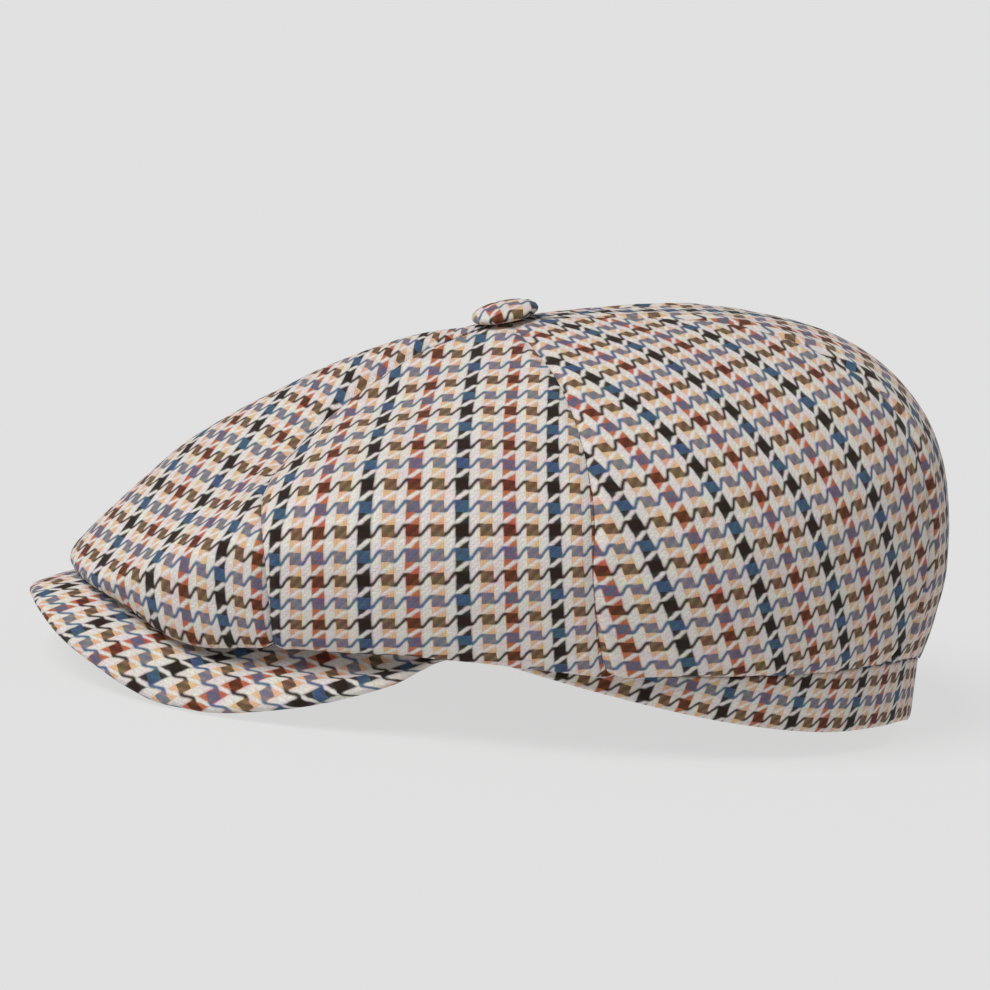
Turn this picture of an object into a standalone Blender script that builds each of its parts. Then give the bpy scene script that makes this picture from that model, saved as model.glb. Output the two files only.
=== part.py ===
"""Six-panel flat cap: a soft crown over a short peak, a band round the head opening and a covered button.

Metres. +Z up, the peak points to -Y and the wearer's left is +X. The cap stands on z = 0 as it would on a
table: on the two low sides of its peak and on the back of its band.

Angles round the cap are ellipse angles in degrees, 0 at the front and 180 at the back.
"""

import math
from collections import namedtuple

import bmesh
import bpy
from mathutils import Vector

# Cloth and clearances
CLOTH = 0.0015
BAND_WALL = 0.0024
PEAK_WALL = 0.0038
GAP = 0.0003
LAID_GAP = 0.0006

# Head opening: an ellipse inside the band, whose lower rim rises from the back to the front
HEAD_LENGTH = 0.2046
HEAD_WIDTH = 0.1612
RIM_RISE = 0.037
RIM_FLAT = 0.0005
BAND_HEIGHT = 0.0205

# Crown: how far it hangs out over the band, and its highest point
SIDE_OVERHANG = 0.009
BACK_OVERHANG = 0.0057
CROWN_HEIGHT = 0.1205
BUTTON_FORWARD = 0.0102
SEAM_DIP = 0.0011
SEAM_DIP_WIDTH = 0.0045

# Peak
PEAK_REACH = 0.0638
PEAK_SHOWS = 0.0110
PEAK_TIP_HEIGHT = 0.0173
PEAK_END_ANGLE = 62.5
PEAK_END_WIDTH = 0.0014
PEAK_DROP = 0.0040
PEAK_ARCH = 0.0028
PEAK_LEAN = 0.0011
PEAK_EDGE_ROUND = 0.0011

# Button
BUTTON_DIAMETER = 0.0205
BUTTON_DOME = 0.0046
BUTTON_TILT = math.radians(17.0)
SHANK_DIAMETER = 0.0070
SHANK_LENGTH = 0.0038
BUTTON_LIFT = 0.0008

# Places that follow from the sizes
BAND_X = HEAD_WIDTH / 2 + BAND_WALL
BAND_REACH = HEAD_LENGTH / 2 + BAND_WALL
CAP_LENGTH = BACK_OVERHANG + 2 * BAND_REACH + PEAK_REACH
TIP_Y = -CAP_LENGTH / 2
BACK_Y = CAP_LENGTH / 2
BAND_Y = BACK_Y - BACK_OVERHANG - BAND_REACH
LIP_Y = TIP_Y + PEAK_SHOWS
PEAK_EDGE_Y = TIP_Y + PEAK_LEAN
CROWN_X = BAND_X + SIDE_OVERHANG
CROWN_Y = (LIP_Y + BACK_Y) / 2
CROWN_REACH = (BACK_Y - LIP_Y) / 2
BUTTON_Y = CROWN_Y - BUTTON_FORWARD
HOLE_RADIUS = SHANK_DIAMETER / 2 + 2 * GAP

# Seams between panels: their angle at the band, at the crown's widest line, and where they leave the button
Seam = namedtuple("Seam", "band widest button")
CENTRE_FRONT = Seam(0, 0, 0)
FRONT_SEAM = Seam(36, 49, 24)
SIDE_SEAM = Seam(90, 92, 92)
REAR_SEAM = Seam(142, 152, 161)
CENTRE_BACK = Seam(180, 180, 180)
SEAMS = (CENTRE_FRONT, FRONT_SEAM, SIDE_SEAM, REAR_SEAM, CENTRE_BACK)
SEAM_CURVE = 2.2

# Crown heights by angle at the widest line, as shares of CROWN_HEIGHT, at shares of the way out from the button
APEX_SHARE = 0.935
OUT_SHARES = {"quarter": 0.25, "half": 0.5, "slope": 0.7, "shoulder": 0.85, "side": 0.95, "widest": 1.0}
Section = namedtuple("Section", "angle quarter half slope shoulder side widest")
SECTIONS = (
    Section(0, 0.866, 0.734, 0.600, 0.450, 0.338, 0.252),
    Section(16, 0.858, 0.720, 0.582, 0.434, 0.320, 0.250),
    Section(30, 0.850, 0.708, 0.578, 0.462, 0.376, 0.312),
    Section(49, 0.852, 0.746, 0.664, 0.584, 0.500, 0.430),
    Section(70, 0.880, 0.806, 0.735, 0.654, 0.564, 0.440),
    Section(92, 0.910, 0.862, 0.785, 0.690, 0.585, 0.440),
    Section(125, 0.950, 0.938, 0.880, 0.785, 0.665, 0.450),
    Section(154, 0.974, 0.988, 0.942, 0.858, 0.718, 0.460),
    Section(180, 0.983, 1.000, 0.968, 0.872, 0.718, 0.420),
)

# Lowest line of the crown by angle at the widest line: a share of the way out from the band to the widest line,
# and a height as a share of CROWN_HEIGHT
Lip = namedtuple("Lip", "angle out height")
LIP_ROWS = (
    Lip(0, 0.958, 0.226),
    Lip(14, 0.90, 0.210),
    Lip(21, 0.87, 0.192),
    Lip(32, 0.84, 0.154),
    Lip(38, 0.80, 0.152),
    Lip(49, 0.74, 0.184),
    Lip(60, 0.68, 0.208),
    Lip(75, 0.60, 0.214),
    Lip(92, 0.55, 0.210),
    Lip(112, 0.56, 0.232),
    Lip(130, 0.58, 0.250),
    Lip(154, 0.62, 0.285),
    Lip(180, 0.62, 0.285),
)

# Band by angle: height of its lower rim as a share of RIM_RISE, and how much of it shows under the crown as a
# share of BAND_HEIGHT
BandRow = namedtuple("BandRow", "angle rim shows")
BAND_ROWS = (
    BandRow(0, 1.000, 0.15),
    BandRow(36, 0.900, 0.15),
    BandRow(63, 0.700, 0.15),
    BandRow(84, 0.515, 0.32),
    BandRow(105, 0.335, 0.66),
    BandRow(125, 0.222, 0.90),
    BandRow(141, 0.190, 0.96),
    BandRow(155, 0.152, 0.95),
    BandRow(168, 0.058, 0.94),
    BandRow(180, 0.000, 0.93),
)

# Peak's lower outer edge by angle from its tip: its height as shares of the tip's and of its ends'
PeakRow = namedtuple("PeakRow", "angle tip ends")
PEAK_ROWS = (
    PeakRow(0, 1.00, 0.00),
    PeakRow(10, 0.88, 0.00),
    PeakRow(20, 0.63, 0.00),
    PeakRow(30, 0.38, 0.00),
    PeakRow(38, 0.15, 0.00),
    PeakRow(45, 0.00, 0.00),
    PeakRow(53, 0.00, 0.00),
    PeakRow(61, 0.00, 0.12),
    PeakRow(70, 0.00, 0.33),
    PeakRow(80, 0.00, 0.66),
    PeakRow(90, 0.00, 1.06),
)

# Where the crown changes, by angle at the band: from lying on the peak to drooping over the peak's end, and
# from that to being drawn in to the band
OFF_PEAK = (46.0, 66.0)
DRAWN_IN = (84.0, 108.0)

# How much less far out the hem lies on the sides of the peak, and where that sets in by angle at the band
LAID_LESS = 0.32
LAID_SIDES = (10.0, 30.0)

# The crown's hem from its lowest line back to the band: a share of the peak's depth where it lies on the peak;
# and shares of the way out and down to the lowest line where it droops, and where it is drawn in to the band
Hem = namedtuple("Hem", "on_peak droop_out droop_down tuck_out tuck_down")
HEM = (
    Hem(0.62, 0.50, 0.65, 0.55, 0.47),
    Hem(0.30, 0.22, 0.32, 0.28, 0.20),
)

# Facets: steps between the crown's stations from the button to the band, and columns and rows elsewhere
STATION_STEPS = (2, 2, 2, 2, 1, 2, 3, 1, 2, 2)
HALF_PANEL_COLUMNS = (0.0, 0.03, 0.075, 0.15, 0.24, 0.33, 0.42)
PANEL_COLUMNS = HALF_PANEL_COLUMNS + (0.5,) + tuple(1 - share for share in reversed(HALF_PANEL_COLUMNS))
BAND_COLUMNS = 48
PEAK_ROW_COUNT = 6
NORMAL_STEP = 0.8
BUTTON_SIDES = 28

# Mean colour and finish of the woven cloth
CLOTH_COLOUR = (0.42, 0.375, 0.35, 1.0)
CLOTH_ROUGHNESS = 0.9


def smooth_step(value, low, high):
    """0 below low, 1 above high and a smooth rise between them."""
    share = min(1.0, max(0.0, (value - low) / (high - low)))
    return share * share * (3.0 - 2.0 * share)


def read_table(rows, column, angle):
    """A column's value at an angle, from a smooth curve through the rows that is level at both ends."""
    keys = [row.angle for row in rows]
    values = [getattr(row, column) for row in rows]
    angle = min(max(angle, keys[0]), keys[-1])
    last = len(rows) - 1
    i = next(i for i in range(last) if angle <= keys[i + 1])
    slopes = [(values[k + 1] - values[k - 1]) / (keys[k + 1] - keys[k - 1]) for k in range(1, last)]
    slopes = [0.0] + slopes + [0.0]
    width = keys[i + 1] - keys[i]
    t = (angle - keys[i]) / width
    start = (1 + 2 * t) * (1 - t) ** 2 * values[i] + t * (1 - t) ** 2 * width * slopes[i]
    end = t * t * (3 - 2 * t) * values[i + 1] - t * t * (1 - t) * width * slopes[i + 1]
    return start + end


def rim_height(angle):
    """Height of the band's lower rim, flattened where it rests."""
    return max(0.0, RIM_RISE * read_table(BAND_ROWS, "rim", abs(angle)) - RIM_FLAT)


def band_top(angle):
    """Height of the band's upper edge, where the crown is sewn on."""
    return rim_height(angle) + BAND_HEIGHT * read_table(BAND_ROWS, "shows", abs(angle))


def band_point(angle, outward, height):
    """A point this far outside the band's outer face."""
    a = math.radians(angle)
    x = BAND_X * math.sin(a)
    y = -BAND_REACH * math.cos(a)
    out = Vector((x / BAND_X**2, y / BAND_REACH**2, 0.0)).normalized()
    return Vector((x, BAND_Y + y, height)) + out * outward


def peak_base(angle, share):
    """Underside of the peak: an angle at the band, and a share of the way from the band to the outer edge."""
    turn = angle / PEAK_END_ANGLE * 90
    end_height = rim_height(PEAK_END_ANGLE) - PEAK_DROP
    root = band_point(angle, GAP, rim_height(angle) - PEAK_DROP)
    end = band_point(PEAK_END_ANGLE, GAP, 0.0)
    half_width = end.x + PEAK_END_WIDTH
    t = math.radians(turn)
    end_y = end.y - PEAK_END_WIDTH
    edge = Vector((half_width * math.sin(t), end_y + (PEAK_EDGE_Y - end_y) * math.cos(t), 0.0))
    edge.z = PEAK_TIP_HEIGHT * read_table(PEAK_ROWS, "tip", abs(turn))
    edge.z = max(0.0, edge.z + end_height * read_table(PEAK_ROWS, "ends", abs(turn)))
    point = root.lerp(edge, share)
    point.z += PEAK_ARCH * (1 - (2 * share - 1) ** 4) * smooth_step((edge - root).length, 0.0, PEAK_REACH)
    return point


def peak_above(angle, share, lift):
    """A point this far above the peak's underside, square to it."""
    step = 0.5
    across = peak_base(angle + step, share) - peak_base(angle - step, share)
    along = peak_base(angle, share + 0.01) - peak_base(angle, share - 0.01)
    return peak_base(angle, share) + across.cross(along).normalized() * -lift


def angles_above(angle):
    """The angles at the crown's widest line and at the button that belong to an angle at the band."""
    lower, upper = next(pair for pair in zip(SEAMS, SEAMS[1:]) if angle <= pair[1].band)
    share = (angle - lower.band) / (upper.band - lower.band)
    return tuple(low + (high - low) * share for low, high in zip(lower[1:], upper[1:]))


def widest_point(turn):
    """A point of the crown's widest line in plan, seen from below the button."""
    a = math.radians(turn)
    return Vector((CROWN_X * math.sin(a), CROWN_Y - CROWN_REACH * math.cos(a) - BUTTON_Y, 0.0))


def crown_stations(angle):
    """Points of the crown's outer face from the button down to the band, at an angle at the band from 0 to 180."""
    turn, button_turn = angles_above(angle)
    apex = Vector((0.0, BUTTON_Y, APEX_SHARE * CROWN_HEIGHT))
    hole = widest_point(button_turn).normalized() * HOLE_RADIUS
    hole.z = hole.y * math.tan(BUTTON_TILT)
    points = [apex + hole]
    for column, share in OUT_SHARES.items():
        at = button_turn + (turn - button_turn) * share**SEAM_CURVE
        point = Vector((0.0, BUTTON_Y, 0.0)) + widest_point(at) * share
        point.z = CROWN_HEIGHT * read_table(SECTIONS, column, at)
        points.append(point)
    widest = points[-1]

    edge = band_point(angle, GAP, band_top(angle) + GAP)
    lip = edge.lerp(widest, read_table(LIP_ROWS, "out", turn))
    lip.z = CROWN_HEIGHT * read_table(LIP_ROWS, "height", turn)
    points.append(lip)
    for row in HEM:
        laid_share = row.on_peak * (1 - LAID_LESS * smooth_step(angle, *LAID_SIDES))
        laid = peak_above(min(angle, PEAK_END_ANGLE), laid_share, PEAK_WALL + LAID_GAP)
        droop = edge.lerp(lip, row.droop_out)
        droop.z = edge.z + (lip.z - edge.z) * row.droop_down
        tuck = edge.lerp(lip, row.tuck_out)
        tuck.z = edge.z + (lip.z - edge.z) * row.tuck_down
        point = laid.lerp(droop, smooth_step(angle, *OFF_PEAK))
        points.append(point.lerp(tuck, smooth_step(angle, *DRAWN_IN)))
    return points + [edge]


def catmull_rom(points, knots, t):
    """The point at t on the middle span of a curve through four points with these knots."""

    def mix(a, b, low, high):
        return ((high - t) * a + (t - low) * b) / (high - low)

    first = mix(points[0], points[1], knots[0], knots[1])
    second = mix(points[1], points[2], knots[1], knots[2])
    third = mix(points[2], points[3], knots[2], knots[3])
    early = mix(first, second, knots[0], knots[2])
    late = mix(second, third, knots[1], knots[3])
    return mix(early, late, knots[1], knots[2])


def curve_through(points, steps):
    """Points of a smooth curve through these points, with so many steps in each span."""
    ends = [2 * points[0] - points[1]] + points + [2 * points[-1] - points[-2]]
    path = []
    for i, count in enumerate(steps):
        four = ends[i : i + 4]
        knots = [0.0]
        for a, b in zip(four, four[1:]):
            knots.append(knots[-1] + max((b - a).length, 1e-6) ** 0.5)
        for step in range(count):
            path.append(catmull_rom(four, knots, knots[1] + (knots[2] - knots[1]) * step / count))
    path.append(points[-1].copy())
    return path


def crown_path(angle):
    """The crown's outer face as a line of points from the button to the band, at any angle."""
    angle = (angle + 180) % 360 - 180
    path = curve_through(crown_stations(abs(angle)), STATION_STEPS)
    if angle < 0:
        path = [Vector((-point.x, point.y, point.z)) for point in path]
    return path


def grid_mesh(name, lines):
    """An open sheet through these lines of points, one line beside another."""
    bm = bmesh.new()
    across, along = len(lines) - 1, len(lines[0]) - 1
    bmesh.ops.create_grid(bm, x_segments=across, y_segments=along, size=0.5)
    for vert in bm.verts:
        i = round((vert.co.x + 0.5) * across)
        j = round((vert.co.y + 0.5) * along)
        vert.co = lines[i][j]
    mesh = bpy.data.meshes.new(name)
    bm.to_mesh(mesh)
    bm.free()
    return mesh


def crown_sheets(angles):
    """The crown's outer and inner faces as lines of points, one for each angle, dipped at the first and last."""
    paths = [crown_path(angle) for angle in angles]
    last = len(paths) - 1
    outer, inner = [], []
    for i, angle in enumerate(angles):
        before, after = crown_path(angle - NORMAL_STEP), crown_path(angle + NORMAL_STEP)
        outer_line, inner_line = [], []
        for j, point in enumerate(paths[i]):
            near = paths[i][max(j - 1, 0) : j + 2]
            along = sum(((b - a).normalized() for a, b in zip(near, near[1:])), Vector((0.0, 0.0, 0.0)))
            outward = along.cross(after[j] - before[j]).normalized()
            first, final = paths[0][j], paths[last][j]
            depth = SEAM_DIP * smooth_step((final - first).length, SEAM_DIP_WIDTH, 5 * SEAM_DIP_WIDTH)
            away = min((point - first).length, (point - final).length) / SEAM_DIP_WIDTH
            clear = Vector((0.0, 0.0, 0.0))
            if i in (0, last):
                clear = (paths[1 if i == 0 else last - 1][j] - point).normalized() * GAP / 2
            dipped = point - outward * depth * math.exp(-away * away) + clear
            outer_line.append(dipped)
            inner_line.append(dipped - outward * CLOTH)
        outer.append(outer_line)
        inner.append(inner_line)
    return outer, inner


def wall_mesh(name, outer, inner):
    """A closed wall between two sheets of the same lines of points.

    Its two long edges are split the same way, so that neighbours' edges lie side by side where they twist.
    """
    bm = bmesh.new()
    front, back = ([[bm.verts.new(point) for point in line] for line in sheet] for sheet in (outer, inner))
    columns, rows = len(outer) - 1, len(outer[0]) - 1
    for sheet in (front, back):
        for i in range(columns):
            for j in range(rows):
                bm.faces.new((sheet[i][j], sheet[i + 1][j], sheet[i + 1][j + 1], sheet[i][j + 1]))
    for i in range(columns):
        for j in (0, rows):
            bm.faces.new((front[i][j], front[i + 1][j], back[i + 1][j], back[i][j]))
    for j in range(rows):
        for i in (0, columns):
            bm.faces.new((front[i][j], front[i][j + 1], back[i][j + 1]))
            bm.faces.new((front[i][j], back[i][j + 1], back[i][j]))
    bmesh.ops.recalc_face_normals(bm, faces=bm.faces)
    mesh = bpy.data.meshes.new(name)
    bm.to_mesh(mesh)
    bm.free()
    return mesh


def panel_angles(start, end):
    """The angles at the band of a panel's columns."""
    return [start + (end - start) * share for share in PANEL_COLUMNS]


def panel_mesh(name, start, end):
    """A crown panel between two angles at the band."""
    return wall_mesh(name, *crown_sheets(panel_angles(start, end)))


def peak_mesh(name):
    """The peak's underside, from one end to the other, with its columns under those of the crown."""
    middle = panel_angles(-FRONT_SEAM.band, FRONT_SEAM.band)
    beside = [angle for angle in panel_angles(FRONT_SEAM.band, SIDE_SEAM.band) if angle < PEAK_END_ANGLE - 1]
    ends = beside[1:] + [PEAK_END_ANGLE]
    angles = [-angle for angle in reversed(ends)] + middle + ends
    lines = [[peak_base(angle, j / PEAK_ROW_COUNT) for j in range(PEAK_ROW_COUNT + 1)] for angle in angles]
    return grid_mesh(name, lines)


def band_mesh(name):
    """The band's outer face, a tube whose two edges follow the rim and the crown's seam."""
    bm = bmesh.new()
    bmesh.ops.create_cone(
        bm, cap_ends=False, segments=BAND_COLUMNS, radius1=1.0, radius2=1.0, depth=2.0
    )
    for vert in bm.verts:
        angle = math.degrees(math.atan2(vert.co.x, -vert.co.y))
        height = band_top(angle) if vert.co.z > 0 else rim_height(angle)
        vert.co = band_point(angle, 0.0, height)
    mesh = bpy.data.meshes.new(name)
    bm.to_mesh(mesh)
    bm.free()
    return mesh


def button_mesh(name):
    """Half section of the button and its shank, from the axis round to the axis, to be turned."""
    radius = BUTTON_DIAMETER / 2
    shank = SHANK_DIAMETER / 2
    section = [(0.0, -SHANK_LENGTH), (shank - 0.0006, -SHANK_LENGTH), (shank, -SHANK_LENGTH + 0.0006)]
    section += [(shank, 0.0), (radius * 0.82, 0.0), (radius * 0.95, BUTTON_DOME * 0.1)]
    section += [(radius, BUTTON_DOME * 0.3), (radius * 0.96, BUTTON_DOME * 0.52)]
    section += [(radius * 0.84, BUTTON_DOME * 0.74)]
    section += [(radius * 0.62, BUTTON_DOME * 0.9), (radius * 0.34, BUTTON_DOME * 0.98), (0.0, BUTTON_DOME)]
    mesh = bpy.data.meshes.new(name)
    points = [(x, 0.0, z) for x, z in reversed(section)]
    mesh.from_pydata(points, [(i, i + 1) for i in range(len(points) - 1)], [])
    return mesh


def add_object(collection, name, mesh):
    """An object of this mesh with a cloth material of its own."""
    material = bpy.data.materials.new(name + "_cloth")
    material.use_nodes = True
    shader = material.node_tree.nodes["Principled BSDF"]
    shader.inputs["Base Color"].default_value = CLOTH_COLOUR
    shader.inputs["Roughness"].default_value = CLOTH_ROUGHNESS
    shader.inputs["Metallic"].default_value = 0.0
    mesh.materials.append(material)
    mesh.shade_smooth()
    obj = bpy.data.objects.new(name, mesh)
    collection.objects.link(obj)
    return obj


def add_wall(obj, thickness):
    """Gives the sheet its thickness, behind its face."""
    wall = obj.modifiers.new("Wall", "SOLIDIFY")
    wall.thickness = thickness
    wall.offset = -1


def build():
    for obj in list(bpy.data.objects):
        bpy.data.objects.remove(obj, do_unlink=True)
    cap = bpy.data.collections.new("Flat cap")
    bpy.context.scene.collection.children.link(cap)

    front, side, rear = FRONT_SEAM.band, SIDE_SEAM.band, REAR_SEAM.band
    panels = {
        "front_panel": (-front, front),
        "left_front_panel": (front, side),
        "left_rear_panel": (side, rear),
        "back_panel": (rear, 360 - rear),
        "right_rear_panel": (-rear, -side),
        "right_front_panel": (-side, -front),
    }
    for name, (start, end) in panels.items():
        add_object(cap, name, panel_mesh(name, start, end))

    add_wall(add_object(cap, "band", band_mesh("band")), BAND_WALL)

    peak = add_object(cap, "peak", peak_mesh("peak"))
    add_wall(peak, PEAK_WALL)
    edge = peak.modifiers.new("Edge", "BEVEL")
    edge.width = PEAK_EDGE_ROUND
    edge.segments = 2
    edge.limit_method = "ANGLE"
    edge.angle_limit = math.radians(50)

    button = add_object(cap, "button", button_mesh("button"))
    button.location = (0.0, BUTTON_Y, APEX_SHARE * CROWN_HEIGHT + BUTTON_LIFT)
    button.rotation_euler = (BUTTON_TILT, 0.0, 0.0)
    turn = button.modifiers.new("Turn", "SCREW")
    turn.axis = "Z"
    turn.steps = BUTTON_SIDES
    turn.render_steps = BUTTON_SIDES
    turn.use_merge_vertices = True
    turn.merge_threshold = 1e-5


build()
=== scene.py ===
"""Looks of a six-panel flat cap in houndstooth wool, on a pale floor in soft light.

Metres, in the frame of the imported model: +Z up, the peak points to -Y and the wearer's left is +X.
Angles round the cap are ellipse angles in degrees, 0 at the front and 180 at the back.
Places in the cloth are counted in threads.
"""

import math
from collections import namedtuple

import bpy
import numpy as np
from mathutils import Matrix, Vector, noise


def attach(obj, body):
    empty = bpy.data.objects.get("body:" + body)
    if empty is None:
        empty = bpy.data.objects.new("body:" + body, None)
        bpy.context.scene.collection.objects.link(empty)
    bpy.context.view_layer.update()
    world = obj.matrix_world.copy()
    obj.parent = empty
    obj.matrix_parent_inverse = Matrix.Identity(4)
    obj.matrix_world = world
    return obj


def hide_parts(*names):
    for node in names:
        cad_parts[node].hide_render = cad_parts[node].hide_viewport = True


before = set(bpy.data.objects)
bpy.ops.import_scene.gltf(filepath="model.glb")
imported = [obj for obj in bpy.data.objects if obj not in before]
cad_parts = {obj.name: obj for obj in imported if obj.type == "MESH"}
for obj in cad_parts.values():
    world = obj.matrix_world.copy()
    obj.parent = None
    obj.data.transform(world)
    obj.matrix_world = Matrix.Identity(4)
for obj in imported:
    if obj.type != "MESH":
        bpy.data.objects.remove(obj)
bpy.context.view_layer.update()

# Sizes of the cap, as in its solids
CLOTH = 0.0015  # the crown's cloth
BAND_WALL = 0.0024
PEAK_WALL = 0.0038
GAP = 0.0003  # between pieces that meet
LAID_GAP = 0.0018  # between the crown's hem and the peak under it

HEAD_LENGTH = 0.2046
HEAD_WIDTH = 0.1612
RIM_RISE = 0.037
RIM_FLAT = 0.0005
BAND_HEIGHT = 0.0205

SIDE_OVERHANG = 0.009
BACK_OVERHANG = 0.0057
CROWN_HEIGHT = 0.1205
BUTTON_FORWARD = 0.0102

PEAK_REACH = 0.0638
PEAK_SHOWS = 0.0110
PEAK_TIP_HEIGHT = 0.0173
PEAK_END_ANGLE = 62.5
PEAK_END_WIDTH = 0.0014
PEAK_DROP = 0.0040
PEAK_ARCH = 0.0028
PEAK_LEAN = 0.0011

BUTTON_DIAMETER = 0.0205
BUTTON_DOME = 0.0046
BUTTON_TILT = math.radians(17.0)
SHANK_DIAMETER = 0.0070
SHANK_LENGTH = 0.0038
BUTTON_LIFT = 0.0008

BAND_X = HEAD_WIDTH / 2 + BAND_WALL
BAND_REACH = HEAD_LENGTH / 2 + BAND_WALL
CAP_LENGTH = BACK_OVERHANG + 2 * BAND_REACH + PEAK_REACH
TIP_Y = -CAP_LENGTH / 2
BACK_Y = CAP_LENGTH / 2
BAND_Y = BACK_Y - BACK_OVERHANG - BAND_REACH
LIP_Y = TIP_Y + PEAK_SHOWS
PEAK_EDGE_Y = TIP_Y + PEAK_LEAN
CROWN_X = BAND_X + SIDE_OVERHANG
CROWN_Y = (LIP_Y + BACK_Y) / 2
CROWN_REACH = (BACK_Y - LIP_Y) / 2
BUTTON_Y = CROWN_Y - BUTTON_FORWARD
HOLE_RADIUS = SHANK_DIAMETER / 2 + 2 * GAP

# Seams between panels: their angle at the band, at the crown's widest line, and where they leave the button
Seam = namedtuple("Seam", "band widest button")
SEAMS = (
    Seam(0, 0, 0),
    Seam(36, 49, 24),
    Seam(90, 92, 92),
    Seam(142, 152, 161),
    Seam(180, 180, 180),
)
FRONT, SIDE, REAR = SEAMS[1].band, SEAMS[2].band, SEAMS[3].band
SEAM_CURVE = 2.2

# Crown heights by angle at the widest line, as shares of CROWN_HEIGHT, at shares of the way out from the button
APEX_SHARE = 0.935
OUT_SHARES = {"quarter": 0.25, "half": 0.5, "slope": 0.7, "shoulder": 0.85, "side": 0.95, "widest": 1.0}
Section = namedtuple("Section", "angle quarter half slope shoulder side widest")
SECTIONS = (
    Section(0, 0.866, 0.734, 0.600, 0.450, 0.338, 0.252),
    Section(16, 0.858, 0.720, 0.582, 0.434, 0.320, 0.250),
    Section(30, 0.850, 0.708, 0.578, 0.462, 0.376, 0.312),
    Section(49, 0.852, 0.746, 0.664, 0.584, 0.500, 0.430),
    Section(70, 0.880, 0.806, 0.735, 0.654, 0.564, 0.440),
    Section(92, 0.910, 0.862, 0.785, 0.690, 0.585, 0.440),
    Section(125, 0.950, 0.938, 0.880, 0.785, 0.665, 0.450),
    Section(154, 0.974, 0.988, 0.942, 0.858, 0.718, 0.460),
    Section(180, 0.983, 1.000, 0.968, 0.872, 0.718, 0.420),
)

# Lowest line of the crown by angle at the widest line: a share of the way out from the band to the widest line,
# and a height as a share of CROWN_HEIGHT
Lip = namedtuple("Lip", "angle out height")
LIP_ROWS = (
    Lip(0, 0.958, 0.226),
    Lip(14, 0.90, 0.210),
    Lip(21, 0.87, 0.192),
    Lip(32, 0.84, 0.154),
    Lip(38, 0.80, 0.152),
    Lip(49, 0.74, 0.184),
    Lip(60, 0.68, 0.208),
    Lip(75, 0.60, 0.214),
    Lip(92, 0.55, 0.210),
    Lip(112, 0.56, 0.232),
    Lip(130, 0.58, 0.250),
    Lip(154, 0.62, 0.285),
    Lip(180, 0.62, 0.285),
)

# Band by angle: height of its lower rim as a share of RIM_RISE, and how much of it shows under the crown as a
# share of BAND_HEIGHT
BandRow = namedtuple("BandRow", "angle rim shows")
BAND_ROWS = (
    BandRow(0, 1.000, 0.15),
    BandRow(36, 0.900, 0.15),
    BandRow(63, 0.700, 0.15),
    BandRow(84, 0.515, 0.32),
    BandRow(105, 0.335, 0.66),
    BandRow(125, 0.222, 0.90),
    BandRow(141, 0.190, 0.96),
    BandRow(155, 0.152, 0.95),
    BandRow(168, 0.058, 0.94),
    BandRow(180, 0.000, 0.93),
)

# Peak's lower outer edge by angle from its tip: its height as shares of the tip's and of its ends'
PeakRow = namedtuple("PeakRow", "angle tip ends")
PEAK_ROWS = (
    PeakRow(0, 1.00, 0.00),
    PeakRow(10, 0.88, 0.00),
    PeakRow(20, 0.63, 0.00),
    PeakRow(30, 0.38, 0.00),
    PeakRow(38, 0.15, 0.00),
    PeakRow(45, 0.00, 0.00),
    PeakRow(53, 0.00, 0.00),
    PeakRow(61, 0.00, 0.12),
    PeakRow(70, 0.00, 0.33),
    PeakRow(80, 0.00, 0.66),
    PeakRow(90, 0.00, 1.06),
)

# Where the crown changes, by angle at the band: from lying on the peak to drooping over the peak's end, and
# from that to being drawn in to the band
OFF_PEAK = (46.0, 66.0)
DRAWN_IN = (84.0, 108.0)

# How much less far out the hem lies on the sides of the peak, and where that sets in by angle at the band
LAID_LESS = 0.32
LAID_SIDES = (10.0, 30.0)

# The crown's hem from its lowest line back to the band: a share of the peak's depth where it lies on the peak;
# and shares of the way out and down to the lowest line where it droops, and where it is drawn in to the band
Hem = namedtuple("Hem", "on_peak droop_out droop_down tuck_out tuck_down")
HEM = (Hem(0.62, 0.50, 0.65, 0.55, 0.47), Hem(0.30, 0.22, 0.32, 0.28, 0.20))

# Cloth: the weave, and how each piece lies in it
WARP_PITCH = 0.86  # mm between threads
WEFT_PITCH = 0.83
TWILL_REPEAT = 4.0  # threads
STRIPE_REPEAT = 8.0
STRIPE_MIDDLE = 2.0  # the thread in each repeat at which a coloured stripe has its middle

# Threads counted across a piece or along it: at its own origin, for each 100 mm across and along, and how
# many more for the squares of these and for both together, where the cloth is eased into shape
Lay = namedtuple("Lay", "start across along across_square along_square both", defaults=(0, 0, 0))
Cut = namedtuple("Cut", "warp weft")
PLAIN = Cut(Lay(0, 100 / WARP_PITCH, 0), Lay(0, 0, 100 / WEFT_PITCH))
# All but the button's are the rounded results of least-squares fits to star places read off a photo
CUTS = {
    "front_panel": Cut(Lay(72, 69, 208, 11, 66, -47), Lay(82, -81, 83, 26, -18, -49)),
    "left_front_panel": Cut(Lay(-26, 129, 18, 17, 3, 15), Lay(48, 9, 75, -6, -20, 22)),
    "left_rear_panel": Cut(Lay(59, 155, 2, -35, -2, 12), Lay(80, 14, 88, -27, -15, -3)),
    "band": Cut(Lay(-227, 131, -36), Lay(-4, 0, 135)),
    "peak": Cut(Lay(-54, 157, -6), Lay(194, -54, 133)),
    "button": Cut(Lay(21, 0, 117), Lay(-4, -117, 0)),
}


# Shape functions


def smooth_step(value, low, high):
    share = np.clip((value - low) / (high - low), 0.0, 1.0)
    return share * share * (3.0 - 2.0 * share)


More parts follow.
